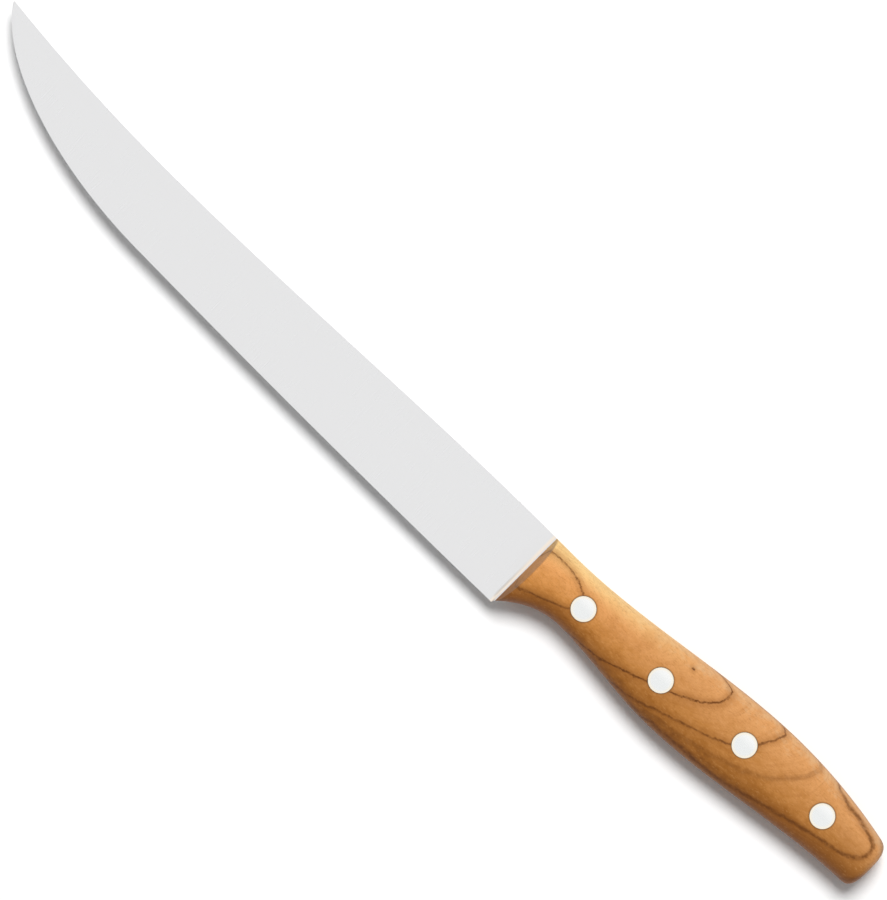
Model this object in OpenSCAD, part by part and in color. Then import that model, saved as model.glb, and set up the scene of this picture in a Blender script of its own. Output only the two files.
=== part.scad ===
// Carving knife, lying on its right side, in millimetres.
// X runs from the point to the butt, Y from the cutting edge to the spine, Z up out of the left side.
// The origin is under the middle of the knife, on the surface that it lies on.

/* [Blade outline] */
// Length of the blade from its heel to its point
blade_l = 218; // [200:1:240]
// Height of the blade at the heel
heel_h = 26.1; // [24:0.1:28]
// Height of the spine above the edge line at its lowest place
waist_h = 21.7; // [19:0.1:24]
// Distance of that lowest place from the heel
waist_x = 154.5; // [135:0.5:170]
// Height of the point above the edge line
point_h = 25.1; // [23:0.1:27]
// Height of the blunt face at the very point
point_blunt = 0.4; // [0.2:0.05:1]
// Depth of the bow in the edge ahead of the heel
edge_bow = 0.75; // [0.2:0.05:1.5]
// Length of that bow
bow_l = 165; // [140:1:185]
// Length over which the edge sweeps up to the point
sweep_l = 74.5; // [60:0.5:90]
// How far round an ellipse the sweep turns, in degrees
sweep_turn = 74.5; // [60:0.5:82]

/* [Blade steel] */
// Thickness of the steel in the tang and along the spine at the heel
steel_t = 2; // [1.6:0.1:3]
// Thickness of the blade just above the sharpened bevel
edge_t = 0.3; // [0.2:0.05:0.5]
// Height of the sharpened bevel
bevel_h = 0.6; // [0.3:0.05:1.2]
// Share of the wedge's thickness that is lost between heel and point
distal_taper = 0.25; // [0:0.05:0.5]
// Length of the ramp where the grind runs out ahead of the handle
plunge_l = 1.2; // [0.6:0.1:4]
// Height over which that ramp rises from the edge at the heel
plunge_h = 3; // [1.5:0.1:6]

/* [Handle outline] */
// Length of the handle from the blade's heel to the butt
handle_l = 130.5; // [122:0.5:140]
// Length of the level stretch of the back behind the blade
level_l = 7; // [2:0.5:14]
// Distance of the top of the back from the heel
hump_x = 92.5; // [84:0.5:100]
// Height of the top of the back above the edge line
hump_h = 34.3; // [32:0.1:37]
// Height of the back where it meets the butt
butt_top_h = 30; // [27:0.1:32]
// Height of the belly at its very front, just above the heel's corner
choil_h = 0.5; // [0.2:0.1:2]
// Distance of the finger notch's crest from the heel
notch_x = 19.5; // [15:0.5:25]
// Height of that crest above the edge line
notch_h = 9; // [7:0.1:11]
// How quickly the belly levels off towards the crest
notch_power = 2.2; // [1.5:0.1:3]
// Distance of the lowest place of the belly behind the notch from the heel
valley_x = 54; // [45:0.5:62]
// Height of that place above the edge line
valley_h = 6.7; // [5:0.1:8.5]
// Height of the belly where it meets the butt
butt_low_h = 14.4; // [12:0.1:17]
// Length of the rounding at the butt
butt_round_l = 4.5; // [3:0.1:7]
// How square that rounding is, where 2 is an ellipse
butt_power = 3.4; // [2:0.1:5]
// Share of the butt's height that stays flat
butt_flat = 0.45; // [0.2:0.05:0.7]

/* [Handle section] */
// Thickness of one handle scale
scale_t = 6.5; // [5:0.1:9]
// Width of the flat land along the middle of each scale, which the knife lies on
land_w = 9.4; // [8.6:0.1:11]
// Fullness of the crown across the handle, where 2 is an ellipse
crown_w_power = 2.3; // [2:0.1:3.5]
// Fullness of the crown in height
crown_h_power = 2.1; // [2:0.1:3.5]
// Gap between the blade's heel and the front of the scales
scale_front = 0.5; // [0.4:0.1:1.5]
// How far the top of each scale's sloped front is set back
front_set = 1.9; // [0.8:0.1:4]
// Share of a scale's thickness that is left at the butt
butt_thick = 0.5; // [0.3:0.05:0.8]

/* [Rivets] */
// Number of rivets
rivet_n = 4; // [2:1:4]
// Distance of the first rivet from the heel
rivet_first = 20; // [15:0.5:22]
// Distance between rivets
rivet_pitch = 30; // [26:0.5:32]
// How far each rivet sits above the handle's middle line
rivet_lift = [-0.6, -0.1, 0.9, 0.4]; // [-1:0.1:1]
// Diameter of the rivet heads
head_d = 7.5; // [6.6:0.1:8.2]
// Thickness of the rivet heads
head_t = 1.8; // [1.2:0.1:2.4]
// Outer diameter of the tubular shank
tube_d = 5; // [4.4:0.1:5.6]
// Diameter of the solid shank that is pressed into the tube
post_d = 3.2; // [2.4:0.1:3.6]
// Length of the solid shank that enters the tube's bore
post_grip = 7; // [5:0.5:8.5]
// Room left at each end of the pair, between shank and head
end_gap = 0.4; // [0.2:0.1:0.8]
// Radial clearance between a rivet and the wood
seat_gap = 0.05; // [0.02:0.01:0.15]
// Radial clearance between the tubular shank and the tang
tang_gap = 0.1; // [0.02:0.01:0.3]
// Radial clearance between the two shanks
press_gap = 0.01; // [0.005:0.005:0.03]

/* [Hidden] */

$fn = 48;
overcut = 0.5;
sweep_steps = 26;
flank_steps = 10;
butt_steps = 8;
front_steps = 3;

half_t = scale_t + steel_t / 2;
heel_at = [
    (blade_l - handle_l) / 2,
    (edge_bow - hump_h) / 2,
    half_t
];

sweep_x = sweep_l - blade_l;
sweep_rx = sweep_l / sin(sweep_turn);
sweep_ry = (point_h - point_blunt - bow_y(-blade_l)) / (1 - cos(sweep_turn));
butt_x = handle_l - butt_round_l;
front_reach = front_set + 0.5;
tang_x = scale_front * 0.6;

function rivet_name(i, half) = str("rivet_", i, "_", half);

// A smooth step from 0 to 1 that is level at both ends
function ease(t) = t * t * (3 - 2 * t);
function wave(x, x0, y0, x1, y1) = y0 + (y1 - y0) * ease(min(1, max(0, (x - x0) / (x1 - x0))));

// Outline of the blade
function bow_y(x) = 4 * edge_bow * x / bow_l * (1 + x / bow_l);
function sweep_y(x) = sweep_ry * (1 - sqrt(1 - pow(max(0, sweep_x - x) / sweep_rx, 2)));
function edge_y(x) = bow_y(x) + sweep_y(x);
function spine_rise(x) = (point_h - waist_h) * pow((x + waist_x) / (blade_l - waist_x), 2);
function spine_y(x) = x > -waist_x ? wave(-x, 0, heel_h, waist_x, waist_h) : waist_h + spine_rise(x);

// Outline of the handle, before its butt is rounded
function hump_fall(x) = (hump_h - butt_top_h) * pow((x - hump_x) / (handle_l - hump_x), 2);
function back_y(x) = x < hump_x ? wave(x, level_l, heel_h, hump_x, hump_h) : hump_h - hump_fall(x);
function choil_y(x) = notch_h - (notch_h - choil_h) * pow(1 - x / notch_x, notch_power);
function belly_y(x) =
    x < notch_x ? choil_y(x)
    : x < valley_x ? wave(x, notch_x, notch_h, valley_x, valley_h)
    : wave(x, valley_x, valley_h, handle_l, butt_low_h);
function middle_y(x) = (back_y(x) + belly_y(x)) / 2;

// Share of the full size that is left at x where the butt is rounded, ending in the share called flat
function rounding(x, flat) =
    pow(1 - (1 - pow(flat, butt_power)) * pow(max(0, x - butt_x) / butt_round_l, butt_power), 1 / butt_power);
function half_y(x) = (back_y(x) - belly_y(x)) / 2 * rounding(x, butt_flat);

// Evenly spaced places from a up to b, leaving b out
function places(a, b, n) = [for (i = [0 : n - 1]) a + (b - a) * i / n];
blade_places = concat(
    [for (i = [0 : sweep_steps - 1]) sweep_x - sweep_rx * sin(sweep_turn * (1 - i / sweep_steps))],
    places(sweep_x, -bow_l / 2, 6),
    places(-bow_l / 2, -plunge_l, 8),
    [-plunge_l]
);
function handle_places(start) = concat(
    places(start, notch_x, 8),
    places(notch_x, valley_x, 10),
    places(valley_x, hump_x, 10),
    places(hump_x, butt_x, 8),
    [for (i = [0 : butt_steps]) butt_x + butt_round_l * sin(90 * i / butt_steps)]
);

// A closed solid through rings of equally many points, each ring flat
module loft(rings) {
    n = len(rings[0]);
    last = len(rings) - 1;
    points = [for (ring = rings) each ring];
    sides = [
        for (k = [0 : last - 1], i = [0 : n - 1])
            let (a = k * n + i, b = k * n + (i + 1) % n)
            each [[a, b, b + n], [a, b + n, a + n]]
    ];
    ends = [
        [for (i = [n - 1 : -1 : 0]) i],
        [for (i = [0 : n - 1]) last * n + i]
    ];
    polyhedron(points, concat(sides, ends), convexity = 6);
}

// One cross-section of the steel. It runs from the edge up the left face and down the right one.
// Each face has the thickness t1 at height y1, t2 at y2 and t3 at the top, y3.
function steel_ring(x, y0, y1, t1, y2, t2, y3, t3) = [
    [x, y0, 0],
    [x, y1, t1 / 2],
    [x, y2, t2 / 2],
    [x, y3, t3 / 2],
    [x, y3, -t3 / 2],
    [x, y2, -t2 / 2],
    [x, y1, -t1 / 2]
];

function wedge_ring(x) =
    let (
        low = edge_y(x),
        h = spine_y(x) - low,
        spine_t = edge_t + (steel_t - edge_t) * h / heel_h * (1 + distal_taper * x / blade_l),
        bevel = min(bevel_h, h / 3),
        shoulder = min(plunge_h, h * 2 / 3),
        shoulder_t = edge_t + (spine_t - edge_t) * (shoulder - bevel) / (h - bevel)
    )
    steel_ring(x, low, low + bevel, edge_t, low + shoulder, shoulder_t, low + h, spine_t);

function heel_ring() = steel_ring(0, 0, bevel_h, edge_t, plunge_h, steel_t, heel_h, steel_t);

function tang_ring(x) =
    let (
        low = middle_y(x) - half_y(x),
        high = middle_y(x) + half_y(x)
    )
    steel_ring(x, low, low, steel_t, (low + high) / 2, steel_t, high, steel_t);

// One cross-section of a scale standing on z = 0, from the belly over the crown to the back.
// lean is how much of the sloped front's setback the ring has.
function crown_ring(x, lean) = [
    for (side = [-1, 1], i = [0 : flank_steps])
        let (
            a = 90 * (side < 0 ? i : flank_steps - i) / flank_steps,
            rise = pow(sin(a), 2 / crown_h_power),
            px = x + lean * front_set * rise,
            land = min(land_w / 2, half_y(px) * 0.7),
            out = land + (half_y(px) - land) * pow(cos(a), 2 / crown_w_power)
        )
        [px, middle_y(px) + side * out, scale_t * rounding(px, butt_thick) * rise]
];

module rivet_holes(d, gap) {
    for (i = [1 : rivet_n])
        translate(rivet_at(i))
            cylinder(d = d + 2 * gap, h = 2 * half_t + 2 * overcut, center = true);
}

function rivet_x(i) = rivet_first + rivet_pitch * (i - 1);
function rivet_at(i) = [rivet_x(i), middle_y(rivet_x(i)) + rivet_lift[i - 1], 0];

// Blade and full-length tang, one piece of steel
module blade() {
    color([0.82, 0.82, 0.83])
        translate(heel_at)
            difference() {
                loft(concat(
                    [for (x = blade_places) wedge_ring(x)],
                    [heel_ring()],
                    [for (x = handle_places(tang_x)) tang_ring(x)]
                ));
                rivet_holes(tube_d, tang_gap);
            }
}

// One handle scale, on the left of the steel, with its rivet seats
module scale_half() {
    difference() {
        translate([0, 0, steel_t / 2])
            loft(concat(
                [for (i = [0 : front_steps - 1])
                    crown_ring(scale_front + front_reach * i / front_steps, 1 - i / front_steps)],
                [for (x = handle_places(scale_front + front_reach)) crown_ring(x, 0)]
            ));
        rivet_holes(tube_d, seat_gap);
        for (i = [1 : rivet_n])
            translate(rivet_at(i) + [0, 0, half_t - head_t])
                cylinder(d = head_d + 2 * seat_gap, h = head_t + overcut);
    }
}

module scale_left() {
    color([0.80, 0.58, 0.36])
        translate(heel_at)
            scale_half();
}

module scale_right() {
    color([0.72, 0.49, 0.28])
        translate(heel_at)
            mirror([0, 0, 1])
                scale_half();
}

// Half of a rivet: a head whose face is at half_t, with a tubular shank that reaches the other head
module rivet_tube(i) {
    shank_end = end_gap - (half_t - head_t);
    bore_end = head_t + post_grip + end_gap - half_t;
    color([0.90, 0.90, 0.88])
        translate(heel_at + rivet_at(i))
            rotate_extrude()
                polygon([
                    [0, bore_end],
                    [post_d / 2 + press_gap, bore_end],
                    [post_d / 2 + press_gap, shank_end],
                    [tube_d / 2, shank_end],
                    [tube_d / 2, half_t - head_t],
                    [head_d / 2, half_t - head_t],
                    [head_d / 2, half_t],
                    [0, half_t]
                ]);
}

// The other half: a head on the right face, with a solid shank inside the tube
module rivet_post(i) {
    color([0.84, 0.84, 0.82])
        translate(heel_at + rivet_at(i))
            rotate_extrude()
                polygon([
                    [0, -half_t],
                    [head_d / 2, -half_t],
                    [head_d / 2, head_t - half_t],
                    [post_d / 2, head_t - half_t],
                    [post_d / 2, head_t + post_grip - half_t],
                    [0, head_t + post_grip - half_t]
                ]);
}

blade();
scale_left();
scale_right();
for (i = [1 : rivet_n]) {
    rivet_tube(i);
    rivet_post(i);
}
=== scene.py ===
import math

import bpy
import numpy as np
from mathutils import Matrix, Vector


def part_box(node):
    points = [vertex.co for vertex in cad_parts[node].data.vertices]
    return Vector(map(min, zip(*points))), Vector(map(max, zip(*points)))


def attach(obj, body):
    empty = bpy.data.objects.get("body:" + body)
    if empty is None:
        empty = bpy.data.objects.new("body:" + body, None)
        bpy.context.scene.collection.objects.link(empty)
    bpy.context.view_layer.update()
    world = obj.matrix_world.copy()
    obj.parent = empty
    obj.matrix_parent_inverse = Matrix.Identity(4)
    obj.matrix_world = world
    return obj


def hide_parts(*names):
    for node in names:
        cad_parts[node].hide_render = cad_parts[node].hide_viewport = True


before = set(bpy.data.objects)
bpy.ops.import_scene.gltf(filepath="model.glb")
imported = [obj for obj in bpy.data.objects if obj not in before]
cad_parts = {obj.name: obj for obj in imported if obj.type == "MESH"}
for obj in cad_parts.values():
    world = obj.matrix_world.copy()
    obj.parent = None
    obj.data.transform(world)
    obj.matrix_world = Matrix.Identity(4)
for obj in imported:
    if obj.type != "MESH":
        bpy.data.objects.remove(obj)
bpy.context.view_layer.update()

# Sizes are in millimetres, as in the part's source, and MM turns them into metres.
# Local x runs from the heel to the butt and, below zero, to the point.
# Local y runs up from the edge line, and z from the blade's middle plane.
MM = 0.001

# Blade
BLADE_L = 218.0
HEEL_H = 26.1
WAIST_H = 21.7
WAIST_X = 154.5
POINT_H = 25.1
POINT_BLUNT = 0.4
EDGE_BOW = 0.75
BOW_L = 165.0
SWEEP_L = 74.5
SWEEP_TURN = math.radians(74.5)
STEEL_T = 2.0
EDGE_T = 0.3
BEVEL_H = 0.6
DISTAL_TAPER = 0.25
PLUNGE_L = 1.2
PLUNGE_H = 3.0
SPINE_ROUND = 0.22

# Handle
HANDLE_L = 130.5
LEVEL_L = 7.0
HUMP_X = 92.5
HUMP_H = 34.3
BUTT_TOP_H = 30.0
CHOIL_H = 0.5
NOTCH_X = 19.5
NOTCH_H = 9.0
NOTCH_POWER = 2.2
VALLEY_X = 54.0
VALLEY_H = 6.7
BUTT_LOW_H = 14.4
BUTT_ROUND_L = 4.5
BUTT_POWER = 3.4
BUTT_FLAT = 0.45
SCALE_T = 6.5
CROWN_W_POWER = 2.3
CROWN_H_POWER = 2.1
SCALE_FRONT = 0.5
FRONT_SET = 1.9
BUTT_THICK = 0.5

# Rivets
RIVET_FIRST = 20.0
RIVET_PITCH = 30.0
RIVET_LIFT = (-0.6, -0.1, 0.9, 0.4)
HEAD_D = 7.5
HEAD_T = 1.8
TUBE_D = 5.0
POST_D = 3.2
POST_GRIP = 7.0
END_GAP = 0.4
PRESS_GAP = 0.01
SEAT_GAP = 0.07
TANG_GAP = 0.1
RIM_BEVEL = 0.13
HEAD_PROUD = 0.02

SWEEP_X = SWEEP_L - BLADE_L
SWEEP_RX = SWEEP_L / math.sin(SWEEP_TURN)
TANG_X = SCALE_FRONT * 0.6
BUTT_X = HANDLE_L - BUTT_ROUND_L
HALF_T = SCALE_T + STEEL_T / 2

steel_low, steel_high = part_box("blade")
HEEL_AT = np.array([
    steel_low.x / MM + BLADE_L,
    steel_low.y / MM + EDGE_BOW,
    (steel_low.z + steel_high.z) / 2 / MM,
])


# Outlines, the same curves as in the part's source
def wave(x, x0, y0, x1, y1):
    t = np.clip((x - x0) / (x1 - x0), 0, 1)
    return y0 + (y1 - y0) * t * t * (3 - 2 * t)


def bow_y(x):
    return 4 * EDGE_BOW * x / BOW_L * (1 + x / BOW_L)


SWEEP_RY = (POINT_H - POINT_BLUNT - bow_y(-BLADE_L)) / (1 - math.cos(SWEEP_TURN))


def edge_y(x):
    turn = np.clip((SWEEP_X - x) / SWEEP_RX, 0, 1)
    return bow_y(x) + SWEEP_RY * (1 - np.sqrt(1 - turn**2))


def spine_y(x):
    level = wave(-x, 0, HEEL_H, WAIST_X, WAIST_H)
    rise = (POINT_H - WAIST_H) * ((x + WAIST_X) / (BLADE_L - WAIST_X)) ** 2
    return np.where(x > -WAIST_X, level, WAIST_H + rise)


def back_y(x):
    fall = (HUMP_H - BUTT_TOP_H) * ((x - HUMP_X) / (HANDLE_L - HUMP_X)) ** 2
    return np.where(x < HUMP_X, wave(x, LEVEL_L, HEEL_H, HUMP_X, HUMP_H), HUMP_H - fall)


def belly_y(x):
    notch = NOTCH_H - (NOTCH_H - CHOIL_H) * np.clip(1 - x / NOTCH_X, 0, 1) ** NOTCH_POWER
    grip = wave(x, NOTCH_X, NOTCH_H, VALLEY_X, VALLEY_H)
    rear = wave(x, VALLEY_X, VALLEY_H, HANDLE_L, BUTT_LOW_H)
    return np.where(x < NOTCH_X, notch, np.where(x < VALLEY_X, grip, rear))


def rounding(x, flat):
    share = np.clip((x - BUTT_X) / BUTT_ROUND_L, 0, 1) ** BUTT_POWER
    return (1 - (1 - flat**BUTT_POWER) * share) ** (1 / BUTT_POWER)


def middle_y(x):
    return (back_y(x) + belly_y(x)) / 2


def half_y(x):
    return (back_y(x) - belly_y(x)) / 2 * rounding(x, BUTT_FLAT)


def crown_z(x, y):
    """Height of the wood's surface over the steel at a place on the handle."""
    share = np.clip(np.abs(y - middle_y(x)) / half_y(x), 0, 1)
    return SCALE_T * rounding(x, BUTT_THICK) * (1 - share**CROWN_W_POWER) ** (1 / CROWN_H_POWER)


# Meshes
def make_piece(name, points, faces, sharp):
    """A piece from points in local millimetres, smooth but for edges sharper than the angle."""
    mesh = bpy.data.meshes.new(name)
    mesh.from_pydata(((np.asarray(points) + HEEL_AT) * MM).tolist(), [], faces)
    mesh.validate()
    piece = bpy.data.objects.new(name, mesh)
    bpy.context.scene.collection.objects.link(piece)
    smooth(piece, sharp)
    return piece


def smooth(piece, sharp):
    mesh = piece.data
    mesh.polygons.foreach_set("use_smooth", [True] * len(mesh.polygons))
    mesh.set_sharp_from_angle(angle=math.radians(sharp))


def side_faces(rings, count):
    """Quads between rings of count points each."""
    faces = []
    for k in range(rings - 1):
        for i in range(count):
            a, b = k * count + i, k * count + (i + 1) % count
            faces.append((a, b, b + count, a + count))
    return faces


def cut(piece, cutter, sharp):
    """Cuts the cutter out of the piece for good, and removes the cutter."""
    tool = piece.modifiers.new("cut", "BOOLEAN")
    tool.operation = "DIFFERENCE"
    tool.solver = "EXACT"
    tool.object = cutter
    graph = bpy.context.evaluated_depsgraph_get()
    result = bpy.data.meshes.new_from_object(piece.evaluated_get(graph))
    piece.modifiers.remove(tool)
    old = piece.data
    piece.data = result
    bpy.data.meshes.remove(old)
    bpy.data.objects.remove(cutter)
    smooth(piece, sharp)


def lathe(profile, centres, segments):
    """Points and faces of an (r, z) profile that starts and ends on the axis, turned about each centre."""
    points, faces = [], []
    turns = np.linspace(0, 2 * math.pi, segments, endpoint=False)
    for cx, cy in centres:
        base = len(points)
        inner = profile[1:-1]
        points.append((cx, cy, profile[0][1]))
        for r, z in inner:
            points += [(cx + r * math.cos(a), cy + r * math.sin(a), z) for a in turns]
        points.append((cx, cy, profile[-1][1]))
        top = len(points) - 1
        first = base + 1
        last = first + (len(inner) - 1) * segments
        for i in range(segments):
            j = (i + 1) % segments
            faces.append((base, first + j, first + i))
            faces.append((top, last + i, last + j))
            for k in range(len(inner) - 1):
                row = first + k * segments
                faces.append((row + i, row + j, row + segments + j, row + segments + i))
    return points, faces


def rivet_centres():
    xs = [RIVET_FIRST + RIVET_PITCH * i for i in range(len(RIVET_LIFT))]
    return [(x, float(middle_y(x)) + lift) for x, lift in zip(xs, RIVET_LIFT)]


# Blade, with the angle in degrees from which an edge is drawn sharp
STEEL_SHARP = 20


def spread(a, b, n):
    return np.linspace(a, b, n, endpoint=False)


def wedge_profile(x):
    """(y, half thickness) from the edge up one side to the spine."""
    low, high = float(edge_y(x)), float(spine_y(x))
    h = high - low
    top_t = EDGE_T + (STEEL_T - EDGE_T) * h / HEEL_H * (1 + DISTAL_TAPER * x / BLADE_L)
    bevel = min(BEVEL_H, h / 3)
    rounded = min(SPINE_ROUND, top_t / 3, h / 6)
    ys = [low, low + bevel]
    ts = [0.0, EDGE_T / 2]
    plunge = min(PLUNGE_H, h * 2 / 3)
    for y in (plunge / 2 + bevel / 2, plunge, *np.linspace(plunge, h - rounded, 6)[1:]):
        ys.append(low + y)
        ts.append(EDGE_T / 2 + (top_t - EDGE_T) / 2 * (y - bevel) / (h - bevel))
    return rounded_top(ys, ts, rounded, high, top_t / 2)


def rounded_top(ys, ts, rounded, high, half):
    """Ends a profile with the rounded corner of the spine."""
    ts[-1] = half
    for turn in (30, 60, 90):
        a = math.radians(turn)
        ys.append(high - rounded + rounded * math.sin(a))
        ts.append(half - rounded + rounded * math.cos(a))
    return np.array([ys, ts])


def tang_profile(x):
    low, high = float(middle_y(x) - half_y(x)), float(middle_y(x) + half_y(x))
    rounded = SPINE_ROUND / 2
    ys = [low, low, *np.linspace(low + rounded, high - rounded, 7)]
    ts = [0.0, STEEL_T / 2 - rounded] + [STEEL_T / 2] * 7
    return rounded_top(ys, ts, rounded, high, STEEL_T / 2)


def plunge_profile(x):
    """The wedge, filling out to the full steel above the plunge line as x nears the heel."""
    ys, ts = wedge_profile(x)
    share = float(wave(x, -PLUNGE_L, 0, 0, 1))
    height = np.clip((ys - ys[1]) / (PLUNGE_H - BEVEL_H), 0, 1)
    full = EDGE_T / 2 + (STEEL_T - EDGE_T) / 2 * height * height * (3 - 2 * height)
    body = np.arange(len(ts)) >= 2
    round_part = STEEL_T / 2 - ts[-4]
    full = np.where(np.arange(len(ts)) >= len(ts) - 3, ts + round_part, full)
    return np.array([ys, np.where(body, ts + (np.maximum(full, ts) - ts) * share, ts)])


def make_blade():
    sweep = SWEEP_X - SWEEP_RX * np.sin(SWEEP_TURN * (1 - spread(0, 1, 80)))
    stations = [(x, wedge_profile(x)) for x in (*sweep, *spread(SWEEP_X, -PLUNGE_L, 120))]
    stations += [(x, plunge_profile(x)) for x in np.linspace(-PLUNGE_L, 0, 9)]
    tang = (*spread(TANG_X, NOTCH_X, 40), *spread(NOTCH_X, BUTT_X, 110))
    butt = BUTT_X + BUTT_ROUND_L * np.sin(np.linspace(0, math.pi / 2, 20))
    stations += [(x, tang_profile(x)) for x in (*tang, *butt)]
    rings = []
    for x, (ys, ts) in stations:
        left = [(x, y, t) for y, t in zip(ys, ts)]
        right = [(x, y, -t) for y, t in zip(ys[1:], ts[1:])]
        rings.append(left + right[::-1])
    count = len(rings[0])
    faces = side_faces(len(rings), count)
    last = (len(rings) - 1) * count
    faces.append(tuple(range(count - 1, -1, -1)))
    faces.append(tuple(range(last, last + count)))
    piece = make_piece("blade_and_tang", [p for ring in rings for p in ring], faces, STEEL_SHARP)
    hole = TUBE_D / 2 + TANG_GAP
    points, faces = lathe([(0, -HALF_T), (hole, -HALF_T), (hole, HALF_T), (0, HALF_T)], rivet_centres(), 64)
    cut(piece, make_piece("tang_holes", points, faces, STEEL_SHARP), STEEL_SHARP)
    return piece


# Scales
WOOD_SHARP = 40
FLANK_STEPS = 26
CAP_COLUMNS = 14
FRONT_STEPS = 4
FRONT_REACH = FRONT_SET + 0.5


def crown_ring(x, lean):
    ring = []
    for side in (-1, 1):
        for i in range(FLANK_STEPS + (side < 0)):
            a = math.pi / 2 * (i if side < 0 else FLANK_STEPS - 1 - i) / FLANK_STEPS
            rise = math.sin(a) ** (2 / CROWN_H_POWER)
            px = x + lean * FRONT_SET * rise
            out = float(half_y(px)) * max(0, math.cos(a)) ** (2 / CROWN_W_POWER)
            z = SCALE_T * float(rounding(px, BUTT_THICK)) * rise
            ring.append((px, float(middle_y(px)) + side * out, z))
    return ring


def cap_grid(points, ring_start, flip):
    """Closes an end ring with a grid of quads, so that the end has points of its own."""
    faces = []
    count = 2 * FLANK_STEPS + 1
    rows = []
    for i in range(FLANK_STEPS):
        left, right = ring_start + i, ring_start + count - 1 - i
        row = [left]
        for j in range(1, CAP_COLUMNS):
            share = j / CAP_COLUMNS
            points.append(tuple(np.array(points[left]) * (1 - share) + np.array(points[right]) * share))
            row.append(len(points) - 1)
        rows.append(row + [right])
    top = ring_start + FLANK_STEPS
    for lower, upper in zip(rows, rows[1:]):
        for j in range(CAP_COLUMNS):
            faces.append((lower[j], lower[j + 1], upper[j + 1], upper[j]))
    faces += [(rows[-1][j], rows[-1][j + 1], top) for j in range(CAP_COLUMNS)]
    return [face[::-1] for face in faces] if flip else faces


def make_scale(name, side):
    """A handle scale over the left (side 1) or right (side -1) face of the tang."""
    front = [
        crown_ring(SCALE_FRONT + FRONT_REACH * i / FRONT_STEPS, 1 - i / FRONT_STEPS)
        for i in range(FRONT_STEPS)
    ]
    start = SCALE_FRONT + FRONT_REACH
    body = (*spread(start, NOTCH_X, 26), *spread(NOTCH_X, BUTT_X, 130))
    butt = BUTT_X + BUTT_ROUND_L * np.sin(np.linspace(0, math.pi / 2, 20))
    rings = front + [crown_ring(x, 0) for x in (*body, *butt)]
    count = len(rings[0])
    points = [p for ring in rings for p in ring]
    faces = side_faces(len(rings), count)
    faces += cap_grid(points, 0, True)
    faces += cap_grid(points, (len(rings) - 1) * count, False)
    points = np.array(points)
    points[:, 2] = side * (points[:, 2] + STEEL_T / 2)
    if side > 0:
        faces = [face[::-1] for face in faces]
    piece = make_piece(name, points, faces, WOOD_SHARP)
    seat, hole = HEAD_D / 2 + SEAT_GAP, TUBE_D / 2 + SEAT_GAP
    ledge = side * (HALF_T - HEAD_T)
    far, near = side * (HALF_T + 1), -side
    profile = [(0, near), (hole, near), (hole, ledge), (seat, ledge), (seat, far), (0, far)]
    cut_points, cut_faces = lathe(profile, rivet_centres(), 96)
    if side < 0:
        cut_faces = [face[::-1] for face in cut_faces]
    cut(piece, make_piece("seats", cut_points, cut_faces, WOOD_SHARP), WOOD_SHARP)
    return piece


# Rivets
RIVET_SHARP = 30
RIVET_SEGMENTS = 72
HEAD_RINGS = (0.9, 0.75, 0.6, 0.45, 0.3, 0.15)


def make_rivet(name, centre, side, shank):
    """Half a rivet. Its head is ground flush with the crown of the wood on the given side."""
    rim = HEAD_D / 2
    head = [
        (rim, HALF_T - RIM_BEVEL),
        (rim - RIM_BEVEL * 0.4, HALF_T - RIM_BEVEL * 0.3),
        (rim - RIM_BEVEL, HALF_T),
    ]
    face = [(rim * share, HALF_T) for share in HEAD_RINGS]
    profile = shank + [(rim, HALF_T - HEAD_T)] + head + face + [(0, HALF_T)]
    points, faces = lathe(profile, [centre], RIVET_SEGMENTS)
    points = np.array(points)
    ground = points[:, 2] > HALF_T - 2 * RIM_BEVEL
    surface = STEEL_T / 2 + crown_z(points[:, 0], points[:, 1]) + HEAD_PROUD - HALF_T
    points[:, 2] += np.where(ground, surface, 0)
    if side < 0:
        points[:, 2] *= -1
        faces = [face[::-1] for face in faces]
    piece = make_piece(name, points, faces, RIVET_SHARP)
    out = (points[:, :2] - centre) / rim
    add_values(piece, "head_up", out[:, 1])
    add_values(piece, "head_out", np.hypot(*out.T))
    return piece


def make_rivets():
    pieces = []
    bore = POST_D / 2 + PRESS_GAP
    under = HALF_T - HEAD_T
    shank_end = END_GAP - under
    bore_end = POST_GRIP + END_GAP - under
    tube = [(0, bore_end), (bore, bore_end), (bore, shank_end), (TUBE_D / 2, shank_end), (TUBE_D / 2, under)]
    tip = under - POST_GRIP
    post = [(0, tip), (POST_D / 2, tip), (POST_D / 2, under)]
    for i, centre in enumerate(rivet_centres(), 1):
        for half, side, shank in (("tube", 1, tube), ("post", -1, post)):
            piece = make_rivet(f"rivet_{i}_{half}_metal", centre, side, shank)
            pieces.append((piece, f"rivet_{i}_{half}"))
    return pieces


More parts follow.
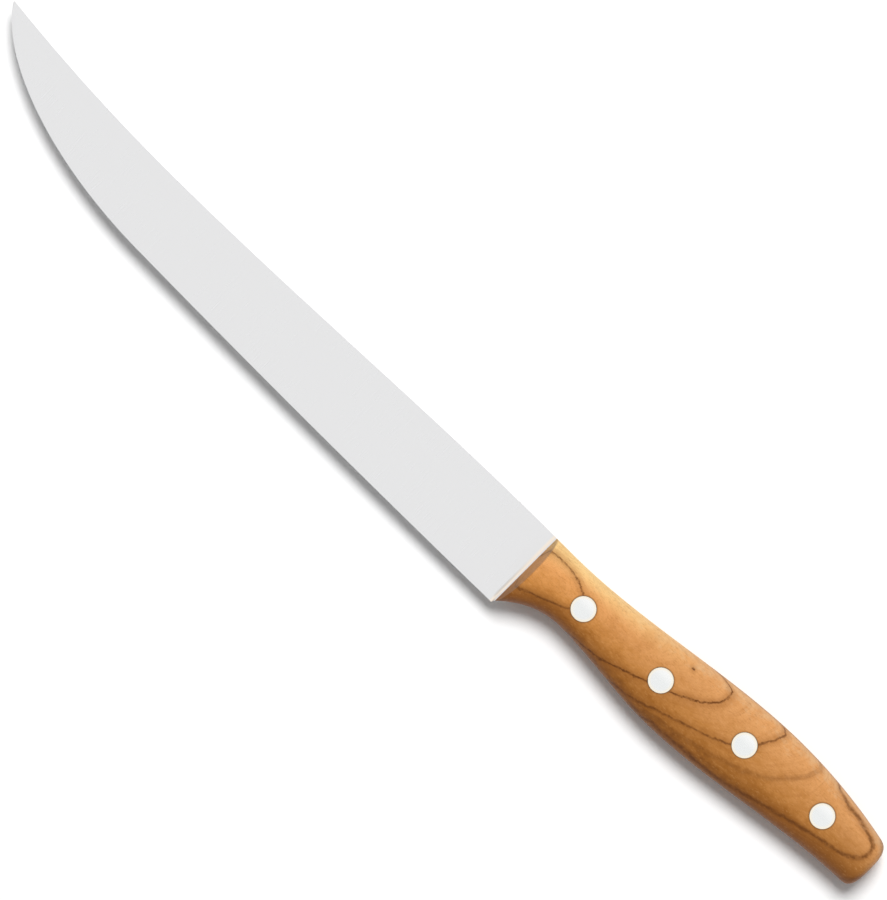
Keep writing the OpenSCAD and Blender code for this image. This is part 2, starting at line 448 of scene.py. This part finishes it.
# The wood's growth rings, as lines drawn on the left scale in local millimetres.
# Each loop opens towards the blade, and the ring number grows outwards.
GRAIN_LOOPS = {
    1: [(1.8, 22), (4.7, 22.8), (9.1, 22.8), (12.7, 22), (15.6, 20.7), (17.2, 20.3), (19.5, 17.2),
        (17.4, 14.5), (13, 12.4), (6.9, 10), (2.2, 8.2)],
    2: [(24.1, 9), (33.8, 10.6), (44.3, 14.3), (54.8, 18.3), (61.4, 21.5), (65.3, 24.4), (67, 26.8),
        (67.2, 29.4), (66.3, 31.5)],
    3: [(41.1, 7.8), (46.3, 8.6), (52.8, 10.6), (58.5, 12.6), (63.3, 14.3), (71, 16.7), (77.3, 19.7),
        (83.1, 24.8), (83.7, 27.4), (85.5, 29.8), (86.6, 33.5)],
    4: [(62, 10.4), (75, 13.4), (85, 16.9), (91.8, 20.5), (94.7, 23.4), (99, 28.5), (100.5, 33)],
    5: [(56, 8), (67.4, 8.8), (77.7, 9.3), (85.6, 11), (92.9, 13), (99.5, 14.9), (106.6, 16.7),
        (113.1, 18.3), (118.6, 19.3), (123.8, 20.9), (126.6, 23.4), (127.1, 27.8), (123.8, 29),
        (118.3, 30.5), (113.7, 31.1), (108.6, 32.9)],
    0.6: [(1, 15.5), (8, 16.5)],
    1.5: [(20, 26), (30, 24), (36, 19)],
    5.5: [(100, 11.9), (122, 14.6), (130, 24), (125, 31)],
}
# How dark and how wide (in millimetres) the line of each ring is, from ring 0 up
RING_DARK = (0, 0.85, 1, 0.85, 0.30, 0.85, 0.5)
RING_WIDE = (0.5, 0.55, 0.5, 0.55, 1.3, 1.0, 1.3)
LOOP_STEP = 2.0
FIELD_SCALE = 20.0
FIELD_EASE = 0.01
RATE_STEP = 0.2
RATE_LEAST = 0.02
END_DEPTH = 0.3
DEPTH_SLOPE = 0.07


def filled_in(loop):
    """The loop with more points along the straight lines between its own."""
    loop = np.array(loop, float)
    lengths = np.r_[0, np.cumsum(np.hypot(*np.diff(loop, axis=0).T))]
    places = np.linspace(0, lengths[-1], max(2, int(lengths[-1] / LOOP_STEP)))
    return np.c_[np.interp(places, lengths, loop[:, 0]), np.interp(places, lengths, loop[:, 1])]


def ring_field():
    """A smooth ring number over the handle that takes each loop's number along the loop."""
    loops = [filled_in(loop) for loop in GRAIN_LOOPS.values()]
    places = np.vstack(loops)
    numbers = np.repeat(list(GRAIN_LOOPS), [len(loop) for loop in loops])

    def kernel(a, b):
        r2 = ((a[:, None] - b[None]) ** 2).sum(2) / FIELD_SCALE**2
        return r2 * np.log(r2 + 1e-9)

    n = len(places)
    system = np.zeros((n + 3, n + 3))
    system[:n, :n] = kernel(places, places) + np.eye(n) * FIELD_EASE
    system[:n, n:] = np.c_[np.ones(n), places / FIELD_SCALE]
    system[n:, :n] = system[:n, n:].T
    weights = np.linalg.solve(system, np.r_[numbers, 0, 0, 0])

    def value(x, y):
        at = np.c_[x, y]
        plane = np.c_[np.ones(len(at)), at / FIELD_SCALE] @ weights[n:]
        return kernel(at, places) @ weights[:n] + plane

    return value


def add_values(piece, name, values):
    attribute = piece.data.attributes.new(name, "FLOAT", "POINT")
    attribute.data.foreach_set("value", np.asarray(values, np.float32))


def grain_values(piece, field, shift, knot):
    """Writes what the wood material needs to know at each point: its rings and its place on the handle."""
    mesh = piece.data
    co = np.zeros(len(mesh.vertices) * 3)
    mesh.vertices.foreach_get("co", co)
    x, y, z = (co.reshape(-1, 3) / MM - HEEL_AT).T
    depth = np.clip(SCALE_T * 0.55 + STEEL_T / 2 - np.abs(z), 0, None) * DEPTH_SLOPE
    gx, gy = x + shift[0], y + shift[1]
    step = RATE_STEP
    ring = field(gx, gy) + depth
    dx = (field(gx + step, gy) - field(gx - step, gy)) / (2 * step)
    dy = (field(gx, gy + step) - field(gx, gy - step)) / (2 * step)
    add_values(piece, "ring", ring)
    add_values(piece, "ring_rate", np.maximum(np.hypot(dx, dy), RATE_LEAST))
    add_values(piece, "ring_dark", np.interp(ring, range(len(RING_DARK)), RING_DARK))
    add_values(piece, "ring_wide", np.interp(ring, range(len(RING_WIDE)), RING_WIDE))
    share = (y - middle_y(x)) / np.maximum(half_y(x), 1)
    add_values(piece, "across", np.clip(share, -1, 1))
    add_values(piece, "along", x / HANDLE_L)
    add_values(piece, "knot_distance", np.hypot((x - knot[0]) * 0.8, y - knot[1]))
    front = SCALE_FRONT + FRONT_SET * (np.abs(z) - STEEL_T / 2) / SCALE_T
    end = 1 - np.minimum(x - front, HANDLE_L - x) / END_DEPTH
    add_values(piece, "end_grain", np.clip(end, 0, 1))
    near = np.min([np.hypot(x - cx, y - cy) for cx, cy in rivet_centres()], axis=0)
    add_values(piece, "rivet_distance", near)


# Materials
class Graph:
    """Small helper that adds and links shader nodes."""

    def __init__(self, name):
        self.material = bpy.data.materials.new(name)
        self.material.use_nodes = True
        self.tree = self.material.node_tree
        self.shader = self.tree.nodes["Principled BSDF"]

    def node(self, kind, **settings):
        made = self.tree.nodes.new(kind)
        for key, value in settings.items():
            setattr(made, key, value)
        return made

    def link(self, source, target):
        self.tree.links.new(source, target)

    def feed(self, socket, value):
        if isinstance(value, bpy.types.NodeSocket):
            self.link(value, socket)
        else:
            socket.default_value = value

    def math(self, operation, *values):
        made = self.node("ShaderNodeMath", operation=operation)
        for socket, value in zip(made.inputs, values):
            self.feed(socket, value)
        return made.outputs[0]

    def attribute(self, name):
        return self.node("ShaderNodeAttribute", attribute_name=name).outputs["Fac"]

    def fade(self, value, start, end, low=0.0, high=1.0):
        """low at start, high at end, smooth between."""
        made = self.node("ShaderNodeMapRange", interpolation_type="SMOOTHSTEP")
        for socket, item in zip(made.inputs, (value, start, end, low, high)):
            self.feed(socket, item)
        return made.outputs[0]

    def mix(self, share, a, b):
        """Colour a where share is 0 and b where it is 1."""
        made = self.node("ShaderNodeMix", data_type="RGBA")
        self.feed(made.inputs["Factor"], share)
        self.feed(made.inputs[6], a)
        self.feed(made.inputs[7], b)
        return made.outputs[2]

    def noise(self, vector, detail, roughness):
        made = self.node("ShaderNodeTexNoise", noise_dimensions="3D")
        self.feed(made.inputs["Vector"], vector)
        made.inputs["Scale"].default_value = 1
        made.inputs["Detail"].default_value = detail
        made.inputs["Roughness"].default_value = roughness
        return made.outputs["Fac"]

    def place(self, stretch):
        """Object coordinates in millimetres, multiplied by stretch along each axis."""
        coordinates = self.node("ShaderNodeTexCoord").outputs["Object"]
        made = self.node("ShaderNodeVectorMath", operation="MULTIPLY")
        self.link(coordinates, made.inputs[0])
        made.inputs[1].default_value = [s / MM for s in stretch]
        return made.outputs[0]

    def vector(self, x, y, z):
        made = self.node("ShaderNodeCombineXYZ")
        for socket, value in zip(made.inputs, (x, y, z)):
            self.feed(socket, value)
        return made.outputs[0]

    def bump(self, height, strength, distance):
        made = self.node("ShaderNodeBump")
        made.inputs["Strength"].default_value = strength
        made.inputs["Distance"].default_value = distance * MM
        self.link(height, made.inputs["Height"])
        self.link(made.outputs[0], self.shader.inputs["Normal"])


# The wood's colours from the belly (0) to the spine (1), and the colours laid over them. The ramp's dark
# belly end is partly the wood's own tone and partly painted shade on the side away from the light.
WOOD_TONES_WITH_SHADE = (
    (0.0, (0.215, 0.070, 0.009)),
    (0.16, (0.355, 0.130, 0.020)),
    (0.38, (0.50, 0.210, 0.051)),
    (0.62, (0.605, 0.275, 0.089)),
    (0.85, (0.67, 0.320, 0.117)),
    (1.0, (0.68, 0.390, 0.185)),
)
RING_BROWN = (0.105, 0.030, 0.005, 1)
SHADE_BROWN = (0.30, 0.108, 0.022, 1)
BELLY_SHADE_BROWN = (0.25, 0.075, 0.008, 1)
STREAK_BROWN = (0.40, 0.155, 0.038, 1)
FINE_BROWN = (0.30, 0.105, 0.022, 1)
DASH_BROWN = (0.36, 0.135, 0.030, 1)
DASH_LIGHT = (0.80, 0.43, 0.17, 1)
PORE_BROWN = (0.26, 0.085, 0.016, 1)
KNOT_BROWN = (0.075, 0.018, 0.004, 1)
RIM_BROWN = (0.22, 0.10, 0.045, 1)
END_BROWN = (0.26, 0.13, 0.055, 1)
SEAT_SHADE_BROWN = (0.19, 0.085, 0.03, 1)
STRAW = (0.85, 0.60, 0.25, 1)
STEEL_GREY = (0.807, 0.807, 0.812, 1)
HEEL_HIGHLIGHT_CREAM = (0.93, 0.83, 0.72, 1)
HEAD_SHADED_GREY = (0.86, 0.875, 0.872, 1)
HEAD_LIT_WHITE = (0.95, 0.955, 0.945, 1)
HEAD_RIM_HIGHLIGHT = (0.98, 0.90, 0.75, 1)


def wood_material():
    g = Graph("pear_wood")
    ring, across, along = g.attribute("ring"), g.attribute("across"), g.attribute("along")
    along_mm = g.math("MULTIPLY", along, HANDLE_L)
    offset = g.math("SUBTRACT", ring, g.math("ROUND", ring))
    wander = g.math("MULTIPLY_ADD", g.noise(g.place((0.30, 0.5, 0.5)), 3.0, 0.6), 1.5, -0.75)
    ragged = g.math("MULTIPLY_ADD", g.noise(g.place((1.3, 1.9, 1.9)), 2.0, 0.6), 0.7, -0.35)
    distance = g.math("DIVIDE", offset, g.attribute("ring_rate"))
    distance = g.math("ADD", distance, g.math("ADD", wander, ragged))
    # Streaks follow the rings, because the ring number is one of the noise's coordinates
    streaks_at = g.vector(g.math("MULTIPLY", along_mm, 0.12), g.math("MULTIPLY", ring, 12.0), 0.0)
    streaks = g.noise(streaks_at, 4.0, 0.6)
    fine_at = g.vector(g.math("MULTIPLY", along_mm, 0.5), g.math("MULTIPLY", ring, 60.0), 0.0)
    fine = g.noise(fine_at, 2.0, 0.5)
    mottle = g.noise(g.place((0.20, 0.45, 0.45)), 3.0, 0.55)
    cloud = g.noise(g.place((0.55, 0.75, 0.75)), 3.0, 0.6)
    dashes = g.noise(g.place((0.75, 2.6, 2.6)), 3.0, 0.65)
    pores = g.noise(g.place((2.2, 7.5, 7.5)), 2.0, 0.6)

    tone = g.node("ShaderNodeValToRGB")
    while len(tone.color_ramp.elements) < len(WOOD_TONES_WITH_SHADE):
        tone.color_ramp.elements.new(0.5)
    for element, (position, colour) in zip(tone.color_ramp.elements, WOOD_TONES_WITH_SHADE):
        element.position = position
        element.color = (*colour, 1)
    place = g.math("MULTIPLY_ADD", across, 0.5, 0.5)
    place = g.math("ADD", place, g.math("MULTIPLY_ADD", mottle, 0.36, -0.18))
    place = g.math("ADD", place, g.math("MULTIPLY_ADD", cloud, 0.38, -0.19))
    g.link(place, tone.inputs[0])
    colour = tone.outputs[0]

    # The wood is lighter towards the blade and darker towards the butt. The darkening along the belly is
    # painted shade, on the side turned away from the light.
    upper = g.fade(across, -0.8, -0.1)
    front = g.math("MULTIPLY", g.fade(along, 0.0, 0.45, 0.24, 0), upper)
    rear = g.math("MULTIPLY", g.fade(along, 0.80, 0.97, 0, 0.16), g.fade(across, -0.2, 0.8, 1, 0.2))
    belly_shade = g.math("MULTIPLY", g.fade(across, -0.9, -0.35, 0.26, 0), g.fade(along, 0.55, 0.85, 0.2, 1))
    gain = g.math("SUBTRACT", g.math("ADD", front, 1.0), g.math("ADD", rear, belly_shade))
    scaled = g.node("ShaderNodeVectorMath", operation="SCALE")
    g.link(colour, scaled.inputs[0])
    g.link(gain, scaled.inputs["Scale"])
    colour = scaled.outputs[0]
    # Painted shade: the belly's corners near the blade and near the butt are darkened, as if turned away
    # from the light.
    corner = g.math("ADD", g.fade(along, 0.08, 0.22, 1, 0), g.fade(along, 0.62, 0.80))
    corner = g.math("MULTIPLY", g.fade(across, -0.98, -0.35, 0.64, 0), corner)
    colour = g.mix(corner, colour, BELLY_SHADE_BROWN)
    # Past ring five, on the belly half, the wood is darker: partly its own tone and partly painted shade
    # away from the light.
    below = g.math("MULTIPLY", g.fade(ring, 4.95, 5.3, 0, 0.38), g.fade(across, -0.5, 0.1, 1, 0))
    colour = g.mix(below, colour, SHADE_BROWN)
    straw = g.math("MULTIPLY", g.fade(across, 0.30, 1.0, 0, 0.80), g.fade(along, 0.08, 0.48, 1, 0))
    colour = g.mix(straw, colour, STRAW)

    colour = g.mix(g.fade(streaks, 0.44, 0.72, 0, 0.26), colour, STREAK_BROWN)
    colour = g.mix(g.fade(fine, 0.50, 0.75, 0, 0.12), colour, FINE_BROWN)
    colour = g.mix(g.fade(dashes, 0.52, 0.72, 0, 0.42), colour, DASH_BROWN)
    colour = g.mix(g.fade(dashes, 0.30, 0.46, 0.22, 0), colour, DASH_LIGHT)
    colour = g.mix(g.fade(pores, 0.56, 0.72, 0, 0.34), colour, PORE_BROWN)

    dark = g.attribute("ring_dark")
    broken = g.fade(g.noise(g.place((0.7, 0.7, 0.7)), 3.0, 0.65), 0.34, 0.58, 0.45, 1)
    size = g.math("ABSOLUTE", distance)
    core = g.fade(size, 0.05, g.attribute("ring_wide"), 1, 0)
    line = g.math("MULTIPLY", g.math("MULTIPLY", core, dark), broken)
    shade = g.math("MULTIPLY", g.fade(size, 0.25, 2.6, 0.46, 0), dark)
    colour = g.mix(shade, colour, SHADE_BROWN)
    colour = g.mix(g.math("MULTIPLY", line, 0.88), colour, RING_BROWN)
    knot = g.math("ADD", g.attribute("knot_distance"), g.math("MULTIPLY_ADD", dashes, 0.5, -0.25))
    colour = g.mix(g.fade(knot, 0.5, 1.6, 0.35, 0), colour, SHADE_BROWN)
    colour = g.mix(g.fade(knot, 0.25, 0.6, 0.95, 0), colour, KNOT_BROWN)
    rim = g.math("MULTIPLY", g.fade(across, 0.955, 1.0, 0, 0.5), g.fade(along, 0.35, 0.55))
    colour = g.mix(rim, colour, RIM_BROWN)
    end = g.math("MULTIPLY", g.attribute("end_grain"), 0.42)
    colour = g.mix(end, colour, END_BROWN)
    # Painted shade: the wood is darkened in a narrow band around each rivet seat, where the gap would be in
    # shade.
    seat = g.fade(g.attribute("rivet_distance"), HEAD_D / 2 + 0.12, HEAD_D / 2 + 0.7, 0.35, 0)
    colour = g.mix(seat, colour, SEAT_SHADE_BROWN)
    g.link(colour, g.shader.inputs["Base Color"])
    g.link(g.fade(fine, 0.3, 0.8, 0.42, 0.55), g.shader.inputs["Roughness"])
    g.shader.inputs["Specular IOR Level"].default_value = 0.15
    height = g.math("SUBTRACT", g.math("MULTIPLY", dashes, -0.6), g.math("MULTIPLY", line, 0.8))
    g.bump(height, 0.35, 0.06)
    return g.material


def steel_material():
    g = Graph("ground_steel")
    g.shader.inputs["Metallic"].default_value = 1
    lines = g.noise(g.place((7.0, 0.12, 1.0)), 3.0, 0.6)
    split = g.node("ShaderNodeSeparateXYZ")
    g.link(g.place((1, 1, 1)), split.inputs[0])
    heel_x = float(HEEL_AT[0])
    # Painted highlight: a pale cream band across the steel at the heel, where the plunge would catch the
    # light.
    near_heel = g.fade(split.outputs[0], heel_x - 1.1, heel_x - 0.3)
    heel = g.math("MULTIPLY", near_heel, g.fade(split.outputs[0], heel_x, heel_x + 0.3, 1, 0))
    colour = g.mix(heel, STEEL_GREY, HEEL_HIGHLIGHT_CREAM)
    g.link(colour, g.shader.inputs["Base Color"])
    cloud = g.noise(g.place((0.05, 0.12, 0.3)), 2.0, 0.5)
    rough = g.math("ADD", g.fade(lines, 0.25, 0.75, 0.24, 0.34), g.math("MULTIPLY", cloud, 0.05))
    g.link(rough, g.shader.inputs["Roughness"])
    g.bump(lines, 0.12, 0.01)
    return g.material


def rivet_material():
    g = Graph("ground_aluminium")
    g.shader.inputs["Metallic"].default_value = 1
    # Painted light: each head is paler on its upper side, towards the light, and greyer on its lower side.
    upper = g.fade(g.attribute("head_up"), -0.1, 0.75)
    face = g.mix(upper, HEAD_SHADED_GREY, HEAD_LIT_WHITE)
    # Painted highlight: a bright cream ring at the rim of each head.
    colour = g.mix(g.fade(g.attribute("head_out"), 0.70, 0.97), face, HEAD_RIM_HIGHLIGHT)
    g.link(colour, g.shader.inputs["Base Color"])
    lines = g.noise(g.place((0.6, 9.0, 9.0)), 3.0, 0.6)
    g.link(g.fade(lines, 0.25, 0.75, 0.22, 0.36), g.shader.inputs["Roughness"])
    g.bump(lines, 0.15, 0.012)
    return g.material


def finish_piece(piece, material, node):
    piece.data.materials.clear()
    piece.data.materials.append(material)
    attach(piece, "root")
    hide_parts(node)


# Stage: floor, world, one soft light from the spine's side, and a camera straight above
PHOTO_W, PHOTO_H = 887, 900
PHOTO_MM = 0.2861  # real size of one pixel at the blade
HEEL_PX = (492.0, 601.0)
EDGE_LINE_PX = 1.1
CAMERA_AWAY = 3.0
FLOOR_HALF = 3.0
FLOOR_DROP = 0.00002
SKY = 0.30
SUN = 0.76
SUN_WAY = (1.6, -2.85, -6.8)
SUN_SIZE = 25
GLOSS_LOW = 0.6
GLOSS_TOP_Z = 0.8


def make_floor():
    mesh = bpy.data.meshes.new("floor")
    s = FLOOR_HALF
    mesh.from_pydata([(-s, -s, 0), (s, -s, 0), (s, s, 0), (-s, s, 0)], [], [(0, 1, 2, 3)])
    floor = bpy.data.objects.new("floor", mesh)
    floor.location.z = -FLOOR_DROP
    bpy.context.scene.collection.objects.link(floor)
    g = Graph("white_floor")
    g.shader.inputs["Base Color"].default_value = (1, 1, 1, 1)
    g.shader.inputs["Roughness"].default_value = 1
    g.shader.inputs["Specular IOR Level"].default_value = 0
    mesh.materials.append(g.material)


def make_world():
    world = bpy.data.worlds.new("studio")
    bpy.context.scene.world = world
    world.use_nodes = True
    nodes, links = world.node_tree.nodes, world.node_tree.links
    path = nodes.new("ShaderNodeLightPath")
    split = nodes.new("ShaderNodeSeparateXYZ")
    links.new(nodes.new("ShaderNodeTexCoord").outputs["Generated"], split.inputs[0])

    def level(share, low, high):
        made = nodes.new("ShaderNodeMapRange")
        links.new(share, made.inputs[0])
        made.inputs[3].default_value = low
        made.inputs[4].default_value = high
        return made

    # Reflections see a white room that greys towards the horizon
    room = level(split.outputs["Z"], GLOSS_LOW, 1)
    room.inputs[2].default_value = GLOSS_TOP_Z
    mirrored = level(path.outputs["Is Glossy Ray"], SKY, 1)
    links.new(room.outputs[0], mirrored.inputs[4])
    clear = level(path.outputs["Is Transmission Ray"], SKY, 1)
    links.new(mirrored.outputs[0], clear.inputs[3])
    seen = level(path.outputs["Is Camera Ray"], SKY, 1)
    links.new(clear.outputs[0], seen.inputs[3])
    background = nodes["Background"]
    background.inputs[0].default_value = (1, 1, 1, 1)
    links.new(seen.outputs[0], background.inputs[1])


def make_sun():
    way = Vector(SUN_WAY).normalized()
    light = bpy.data.lights.new("key", "SUN")
    light.energy = SUN * math.pi / -way.z
    light.angle = math.radians(SUN_SIZE)
    lamp = bpy.data.objects.new("key", light)
    lamp.rotation_mode = "QUATERNION"
    lamp.rotation_quaternion = way.to_track_quat("-Z", "Y")
    lamp.visible_glossy = False
    bpy.context.scene.collection.objects.link(lamp)


def make_camera():
    """Straight above the knife, rolled so that it lies at 45 degrees as photographed."""
    data = bpy.data.cameras.new("camera")
    data.sensor_width = 36
    data.lens = data.sensor_width * CAMERA_AWAY / (PHOTO_H * PHOTO_MM * MM)
    data.clip_start, data.clip_end = 0.1, 100
    camera = bpy.data.objects.new("camera", data)
    dx, dy = PHOTO_W / 2 - HEEL_PX[0], PHOTO_H / 2 - HEEL_PX[1]
    along = (dx + dy) * math.sqrt(0.5)
    up = (dx - dy) * math.sqrt(0.5)
    target = np.array([along * PHOTO_MM, (up + EDGE_LINE_PX) * PHOTO_MM, 0]) + HEEL_AT
    camera.location = (target[0] * MM, target[1] * MM, target[2] * MM + CAMERA_AWAY)
    camera.rotation_euler = (0, 0, math.radians(45))
    bpy.context.scene.collection.objects.link(camera)
    bpy.context.scene.camera = camera


make_camera()
make_world()
make_sun()
make_floor()

steel, wood, metal = steel_material(), wood_material(), rivet_material()
finish_piece(make_blade(), steel, "blade")
field = ring_field()
for name, side, shift, knot in (
    ("scale_left", 1, (0, 0), (54.3, 27.3)),
    ("scale_right", -1, (7.0, -1.2), (72.0, 13.0)),
):
    piece = make_scale(name + "_wood", side)
    grain_values(piece, field, shift, knot)
    finish_piece(piece, wood, name)
for piece, node in make_rivets():
    finish_piece(piece, metal, node)

view = bpy.context.scene.view_settings
view.view_transform = "Standard"
